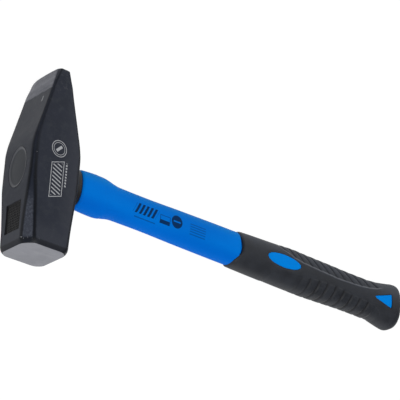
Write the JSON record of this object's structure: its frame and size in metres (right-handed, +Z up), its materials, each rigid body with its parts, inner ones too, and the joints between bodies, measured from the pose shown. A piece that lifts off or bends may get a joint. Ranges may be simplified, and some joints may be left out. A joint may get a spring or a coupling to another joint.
{
  "type": "cross peen hammer",
  "caption": "Machinist's hammer with a square chamfered face, a wedge-shaped cross peen and a straight fibreglass handle with a plastic jacket and a soft ribbed grip.",
  "frame": {"origin": "on the lower cheek of the head, straight below the point where the handle's axis crosses the middle of the eye", "axes": "+X along the handle from the head to the butt, +Y along the head from the striking face to the peen, +Z up, square to the cheeks; the hammer lies on its lower cheek"},
  "size_m": [0.3611, 0.1367, 0.036],
  "materials": {
    "lacquered_steel": "dark blue-grey satin lacquer over forged steel, ground bright on the face and the peen",
    "cap_lacquer": "the same dark lacquer over the end of the handle in the eye",
    "epoxy_resin": "hard cast resin, hidden",
    "collar_plastic": "near-black satin plastic",
    "fibreglass": "pultruded glass fibre rod, hidden",
    "blue_plastic": "bright blue satin moulded plastic",
    "inlay_plastic": "bright blue satin moulded plastic",
    "grip_rubber": "near-black matt soft rubber with moulded ribs"
  },
  "bodies": {
    "root": {"head": "lacquered_steel", "eye_cap": "cap_lacquer", "eye_resin": "epoxy_resin", "neck_collar": "collar_plastic", "fibreglass_core": "fibreglass", "handle_jacket": "blue_plastic", "grip": "grip_rubber", "oval_inlay_near": "inlay_plastic", "oval_inlay_far": "inlay_plastic", "butt_inlay_near": "inlay_plastic", "butt_inlay_far": "inlay_plastic"}
  },
  "joints": []
}
